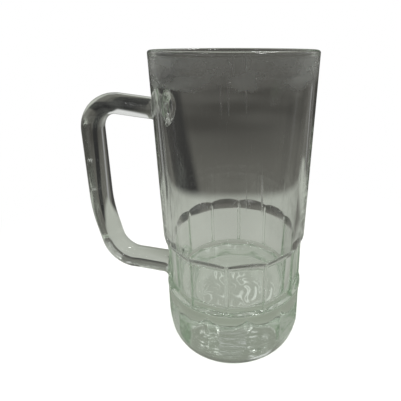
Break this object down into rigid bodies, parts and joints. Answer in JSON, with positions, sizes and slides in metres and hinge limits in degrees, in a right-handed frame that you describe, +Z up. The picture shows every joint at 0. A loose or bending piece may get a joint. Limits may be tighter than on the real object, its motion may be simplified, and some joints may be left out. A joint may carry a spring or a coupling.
{
  "type": "handled glass mug",
  "caption": "Tall tapered clear glass mug with a fire-polished rim, staggered tiers of flat panels, a thick solid base and an oval D handle fused to its side, for cold drinks.",
  "frame": {"origin": "centre of the flat foot, on the mug's axis and on the table", "axes": "+Z up along the mug's axis, -X towards the handle"},
  "size_m": [0.1365, 0.088, 0.1725],
  "materials": {
    "body_glass": "clear pressed soda-lime glass with a pale green-grey cast, fire-polished",
    "handle_glass": "clear fire-polished glass bar with a pale green-grey cast"
  },
  "bodies": {
    "root": {"mug_body": "body_glass", "handle": "handle_glass"}
  },
  "joints": []
}
